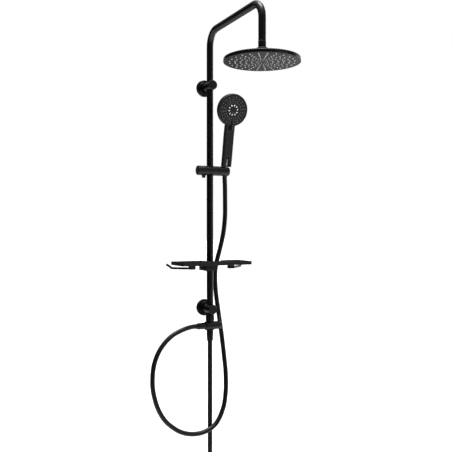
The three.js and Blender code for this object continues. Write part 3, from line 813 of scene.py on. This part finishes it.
DOT_RINGS = (27.5, 35, 43)  # radii of the rings of small outlets
JET_RING = 15.6

HANDLE_FOOT = 16.5
STEM_TOP = 42.0
# The scoop in the front of the handle's foot, over the inlet stem: an upright wedge.
SCOOP_FOOT, SCOOP_TOP, SCOOP_DEEP = HANDLE_FOOT + 3, HANDLE_FOOT + 35, 4.8
SPINE = [(0, 0, HANDLE_FOOT), (0, 1, 50), (0, 3.5, 90), (0, 5.5, 130), (0, 5, 160), (0, 3, 185)]


def handle_section(share):
    """A flat-fronted section, a little wider and flatter up the handle."""
    depth, width = 11 * MM, (16.4 + 0.4 * share) * MM
    corner_points = [(-depth, -width), (depth, -width), (depth, width), (-depth, width)]
    return rounded_outline(corner_points, [0.0048, 0.010, 0.010, 0.0048])


def inlet_stem():
    wall = [(5, -8), (7.3, -8), (7.3, STEM_TOP), (5, STEM_TOP)]
    stem = turned("inlet_tube", wall, HAND.translation, HAND_UP, 64)
    stand_for(stem, "hand_inlet_stem")


def hand_shell():
    line = [p * MM for p in smooth_route(SPINE, 6)]
    sections = [handle_section(i / (len(line) - 1)) for i in range(len(line))]
    handle = swept("hand_grip", line, sections, HAND)
    disc = turned("tool", [
        (0, -14), (30, -13.5), (46, -10.5), (51.5, -7.5), (53, -4.5), (53, 7), (52.4, 8), (0, 8),
    ], SPRAY, HAND_OUT, SPRAY_SIDES, 2.0)
    bore = rod(7.6, -2, STEM_TOP + FIT, HAND.translation, HAND_UP)
    scoop_outline = [(-9.6, SCOOP_FOOT), (9.6, SCOOP_FOOT), (0.8, SCOOP_TOP), (-0.8, SCOOP_TOP)]
    to_front = HAND @ Matrix.Rotation(math.pi / 2, 4, "X")
    scoop = prism("tool", [(x * MM, z * MM) for x, z in scoop_outline], SCOOP_DEEP * MM, 0.02, to_front)
    shell = cut(joined(handle, disc), bore, scoop)
    stand_for(bevelled(shell, 0.0005, 2, 50), "hand_shell")


def spray_face():
    face = turned("spray_plate", [
        (0, 8.3), (47.4, 8.3), (47.4, 10.3), (46.8, 10.8), (39.5, 10.8), (39.2, 10.5), (38.9, 10.8),
        (31.5, 10.9), (31.2, 10.5), (30.9, 10.9), (22, 10.9), (21.2, 10.1), (10.2, 10.1), (9.4, 10.3),
        (8.2, 10.9), (7, 11), (1.8, 11), (1.6, 10.2), (0, 10.2),
    ], SPRAY, HAND_OUT, SPRAY_SIDES, 0.3)
    # The spray face takes the lighter black, with light from below painted into its colour.
    stand_for(face, "spray_face", FACE_BLACK_PAINTED_LIGHT)
    flat = frame_matrix(SPRAY, HAND_OUT)

    def about(degrees):
        return flat @ Matrix.Rotation(math.radians(degrees), 4, "Z")

    small = [
        about(9 + 18 * k) @ Matrix.Translation((radius * MM, 0, 10.6 * MM))
        for radius in DOT_RINGS
        for k in range(20)
    ]
    dots = studs("spray_dots", small, [(0, 0), (1.0, 0), (0.9, 0.3), (0.5, 0.42), (0, 0.4)], 10)
    add_to(dots, "hand_shower", "nozzle_silicone")
    oval = Matrix.Translation((JET_RING * MM, 0, 9.9 * MM)) @ Matrix.Diagonal((1.4, 1, 1, 1))
    large = [about(10 + 36 * k) @ oval for k in range(10)]
    jet = [(0, 0), (2.1, 0), (2.0, 0.7), (1.5, 1.2), (0.9, 1.35), (0, 1.3)]
    jets = studs("spray_jets", large, jet, 16)
    add_to(jets, "hand_shower", "nozzle_silicone", PALE_NOZZLE)


def mode_ring():
    ring = turned("mode_bezel", [
        (47.8, 8.3), (52.4, 8.3), (52.4, 9.8), (51.2, 11), (47.8, 11),
    ], SPRAY, HAND_OUT, SPRAY_SIDES, 0.4)
    # A three-sided thumb wedge starts at a point over the face and stands proud below it.
    place = Matrix.Translation(SPRAY) @ SEAT.to_3x3().to_4x4()
    to_front = place @ Matrix.Rotation(math.pi / 2, 4, "X")
    tongue_outline = [(-5.5, -65.5), (5, -65.5), (4, -50), (-4.5, -50)]
    tongue = prism("tool", [(x * MM, z * MM) for x, z in tongue_outline], 0.0083, 0.012, to_front)
    corner_points = [(-1.5, -11.15, -26), (-8, -11.15, -66), (6, -11.15, -66), (0.5, -20.8, -65.5)]
    sides = [(0, 1, 2), (0, 1, 3), (0, 2, 3), (1, 2, 3)]
    wedge = mesh_object("tool", [place @ (Vector(c) * MM) for c in corner_points], sides)
    stand_for(joined(ring, tongue, bevelled(wedge, 0.0005)), "mode_ring")


seat()
hose_nut()
inlet_stem()
hand_shell()
spray_face()
mode_ring()


# ------------------------------------------------------------------ diverter
CROSS = on_riser(centre("diverter_knob").z)
COLLAR_TOP, COLLAR_BOTTOM = -19.2, -38.5  # heights in the CAD frame


def diverter():
    top = (COLLAR_TOP * MM - CROSS.z) / MM
    bottom = (COLLAR_BOTTOM * MM - CROSS.z) / MM
    collar = turned("collar_nut", [
        (TUBE_R + FIT, bottom), (13.7, bottom), (14.2, bottom + 0.8), (14.2, top - 0.8), (13.7, top),
        (TUBE_R + FIT, top),
    ], CROSS, steps=ROUND)
    stand_for(collar, "diverter_collar_nut")
    neck = turned("cross_body", [
        (0, -14.9), (12.9, -14.9), (12.9, bottom - FIT), (0, bottom - FIT),
    ], CROSS, Z, ROUND, 0.5)
    barrel = turned("tool", [(0, -16.5), (14.5, -16.5), (14.5, 14.9), (0, 14.9)], CROSS, X, ROUND, 0.8)
    inner = [
        rod(TUBE_BORE - FIT, 0, bottom + 16, CROSS), rod(8, -31.8, 0, CROSS, X), rod(8, -29.2, 0, CROSS),
    ]
    bores = [rod(5.5, -60, 60, CROSS), rod(4.5, -60, 0, CROSS, X), rod(9, -8, 60, CROSS, X)]
    stand_for(cut(joined(neck, barrel, *inner), *bores), "diverter_body")
    knob = turned("lever_knob", [
        (0, 15.2), (12.4, 15.2), (13.1, 16), (13.1, 39.6), (12.6, 40.4), (11.8, 40.8), (0, 40.8),
    ], CROSS, X, ROUND, 0.4)
    pin_at = CROSS + X * 32.5 * MM
    spindle_hole = rod(4.3, 0, 30.4, CROSS, X, 32)
    pin_hole = rod(3.3, 5, 20, pin_at, steps=32)
    stand_for(cut(knob, spindle_hole, pin_hole), "diverter_knob")
    pin = turned("lever_pin", [
        (0, 5.4), (3, 5.4), (3, 32.2), (2.3, 33.4), (0, 33.4),
    ], pin_at, Z, 40, 0.7)
    stand_for(pin, "knob_lever_pin")
    outlet = turned("outlet_collar", [
        (HOSE_BORE, -42.8), (10.7, -42.8), (11, -42), (11, -39.6), (10.3, -38.8), (11.1, -17.6),
        (10.7, -16.8), (8.3, -16.8), (8.3, -32.8), (HOSE_BORE, -32.8),
    ], CROSS, X, 80, 0.4)
    stand_for(outlet, "outlet_nut")
    ferrule = turned("hose_ferrule", [
        (HOSE_BORE, -50.2), (8.7, -50.2), (9.1, -49.6), (9.1, -43.1), (HOSE_BORE, -43.1),
    ], CROSS, X, 72, 0.3)
    stand_for(ferrule, "outlet_ferrule")
    lower = turned("cone_collar", [
        (HOSE_BORE, -49.5), (9.6, -49.5), (10, -48.9), (11.1, -29.2), (11.1, -15.2), (8.3, -15.2),
        (8.3, -30.2), (HOSE_BORE, -30.2),
    ], CROSS, steps=ROUND)
    stand_for(lower, "supply_top_nut")


diverter()


# ------------------------------------------------------------------ shelf
def box_piece(name, low, high):
    outline = [(low[0], low[1]), (high[0], low[1]), (high[0], high[1]), (low[0], high[1])]
    return prism(name, [(x * MM, y * MM) for x, y in outline], low[2] * MM, high[2] * MM)


def shelf_tray():
    bottom, height, wall = 147.5, 11.6, 3.0
    left, right, front, back = -125.0, 125.0, -114.3, -13.6
    notch_left, notch_right, notch_front = -12.0, 56.0, -62.0

    def outline(inset, corner):
        points = [
            (left + inset, front + inset), (right - inset, front + inset), (right - inset, back - inset),
            (notch_right + inset, back - inset), (notch_right + inset, notch_front - inset),
            (notch_left - inset, notch_front - inset), (notch_left - inset, back - inset),
            (left + inset, back - inset),
        ]
        radii = [corner, corner, 2, 2, 3, 3, 2, 2]
        return [(x * MM, y * MM) for x, y in rounded_outline(points, radii)]

    block = prism("tray", outline(0, 4), bottom * MM, (bottom + height) * MM)
    pocket = prism("tool", outline(wall, 3), (bottom + wall) * MM, (bottom + height + 5) * MM)
    stand_for(bevelled(cut(block, pocket), 0.0006, 3, 50), "shelf_tray")


def shelf_clamp():
    low, high = corners("shelf_clamp")
    block = box_piece("clamp_block", low / MM, high / MM)
    middle = Vector((RISER.x, 0, (low.z + high.z) / 2))
    tools = [
        rod(TUBE_R + FIT, 100, 160, on_riser(0)),
        rod(5.3, 30, 45, middle, OUT, 32),
        rod(3.3, 0, 35.6, middle, OUT, 32),
    ]
    stand_for(bevelled(cut(block, *tools), 0.0007, 3, 50), "shelf_clamp")


def shelf_hook(name, side):
    """A bar under the tray that rises at its end. side is -1 for the left and 1 for the right."""
    middle, half = 137.3, 3.6 * MM
    corner_points = [
        (66, -64, middle), (80, -60, middle), (122, -25, middle), (126.5, -21.8, middle + 0.6),
        (131, -18.8, middle + 5), (142, -14.5, middle + 13),
    ]
    line = [p * MM for p in smooth_route([(side * x, y, z) for x, y, z in corner_points], 3)]
    square = [(-half, -half), (half, -half), (half, half), (-half, half)]
    outline = rounded_outline(square, [0.0012] * 4)
    bar = bevelled(swept(f"hook_{name}", line, [outline] * len(line)), 0.0005, 2, 60)
    xs = sorted((side * 62, side * 80))
    foot = bevelled(box_piece("tool", (xs[0], -73, 133.4), (xs[1], -54, 147.2)), 0.0006)
    stand_for(joined(bar, foot), f"shelf_hook_{name}")


shelf_tray()
shelf_clamp()
shelf_hook("left", -1)
shelf_hook("right", 1)


# ------------------------------------------------------------------ floor and light
FLOOR_SIZE = 80
FLOOR_GAP = 0.03  # under the lowest piece
LAMP_AIM = 0.3  # the height that the lamps face
SUN_POWER = 3.6
SUN_WIDTH = 40  # degrees
# Name; degrees to the right of the camera, distance and height of the lamp; width and height of its
# panel; power.
LAMPS = [
    ("right_panel", 118, 2.4, 0.4, 1.2, 3.0, 13),
    ("right_rim", 152, 2.4, 0.6, 0.9, 2.4, 22),
    ("left_rim", -152, 2.4, 0.6, 0.6, 2.4, 3),
    ("front_panel", 52, 3.2, 0.3, 2.2, 2.6, 7),
]


def area_light(name, place, width, height, power):
    """A rectangle of light that faces the middle of the column and is hidden from the camera."""
    data = bpy.data.lights.new(name, "AREA")
    data.shape = "RECTANGLE"
    data.size, data.size_y = width, height
    data.energy = power
    lamp = bpy.data.objects.new(name, data)
    lamp.location = place
    lamp.rotation_euler = (on_riser(LAMP_AIM) - place).to_track_quat("-Z", "Y").to_euler()
    lamp.visible_camera = False
    bpy.context.scene.collection.objects.link(lamp)


def around(angle, distance, height):
    """A place round the column: angle is to the right of the camera, in degrees, as seen from above."""
    turn = math.radians(angle)
    back = -sight * math.cos(turn) + view_right * math.sin(turn)
    return on_riser(height) + back * distance


# What the black pieces reflect where there is no lamp, as (share of the way from straight down to
# straight up, brightness). The pale floor shows from below, and the room is dark at eye level.
ROOM_GLOW = [
    (0.0, 1.3), (0.14, 1.2), (0.25, 0.7), (0.36, 0.12), (0.45, 0.005), (0.6, 0.004), (0.8, 0.3),
    (1.0, 0.6),
]


def lay_floor():
    bpy.ops.mesh.primitive_plane_add(size=FLOOR_SIZE, location=(0, 0, cad_box[0].z - FLOOR_GAP))
    floor = bpy.context.object
    floor.name = "floor"
    nodes = Nodes("floor")
    nodes.link(
        nodes.ramp(nodes.noise(0.6, 3), (0.88, 0.88, 0.88), (0.9, 0.9, 0.9)),
        nodes.shader.inputs["Base Color"],
    )
    nodes.shader.inputs["Roughness"].default_value = 0.9
    nodes.shader.inputs["Specular IOR Level"].default_value = 0
    floor.data.materials.append(nodes.material)
    floor.visible_glossy = False  # black pieces show the lamps and the dim room, and not the white floor


def make_world():
    """White to the camera, and a dim room to everything else."""
    world = bpy.data.worlds.new("studio")
    bpy.context.scene.world = world
    world.use_nodes = True
    tree = world.node_tree
    tree.nodes.clear()
    output = tree.nodes.new("ShaderNodeOutputWorld")
    seen = tree.nodes.new("ShaderNodeBackground")
    seen.inputs["Color"].default_value = (1, 1, 1, 1)
    room = tree.nodes.new("ShaderNodeBackground")
    height = tree.nodes.new("ShaderNodeSeparateXYZ")
    tree.links.new(tree.nodes.new("ShaderNodeTexCoord").outputs["Generated"], height.inputs["Vector"])
    level = tree.nodes.new("ShaderNodeMapRange")
    level.inputs["From Min"].default_value = -1
    tree.links.new(height.outputs["Z"], level.inputs["Value"])
    glow = tree.nodes.new("ShaderNodeValToRGB")  # from straight down to straight up
    for place, value in ROOM_GLOW:
        stop = glow.color_ramp.elements.new(place)
        stop.color = (value, value, value, 1)
    glow.color_ramp.elements.remove(glow.color_ramp.elements[0])
    glow.color_ramp.elements.remove(glow.color_ramp.elements[-1])
    tree.links.new(level.outputs["Result"], glow.inputs["Fac"])
    tree.links.new(glow.outputs["Color"], room.inputs["Color"])
    path = tree.nodes.new("ShaderNodeLightPath")
    mix = tree.nodes.new("ShaderNodeMixShader")
    tree.links.new(path.outputs["Is Camera Ray"], mix.inputs["Fac"])
    tree.links.new(room.outputs["Background"], mix.inputs[1])
    tree.links.new(seen.outputs["Background"], mix.inputs[2])
    tree.links.new(mix.outputs["Shader"], output.inputs["Surface"])


def light():
    sun = bpy.data.lights.new("overhead", "SUN")
    sun.energy = SUN_POWER
    sun.angle = math.radians(SUN_WIDTH)
    overhead = bpy.data.objects.new("overhead", sun)
    bpy.context.scene.collection.objects.link(overhead)
    for name, angle, distance, level, width, height, power in LAMPS:
        area_light(name, around(angle, distance, level), width, height, power)


def plain_view():
    view = bpy.context.scene.view_settings
    view.view_transform = "Standard"
    view.look = "None"
    view.exposure = 0
    view.gamma = 1


lay_floor()
make_world()
light()
plain_view()
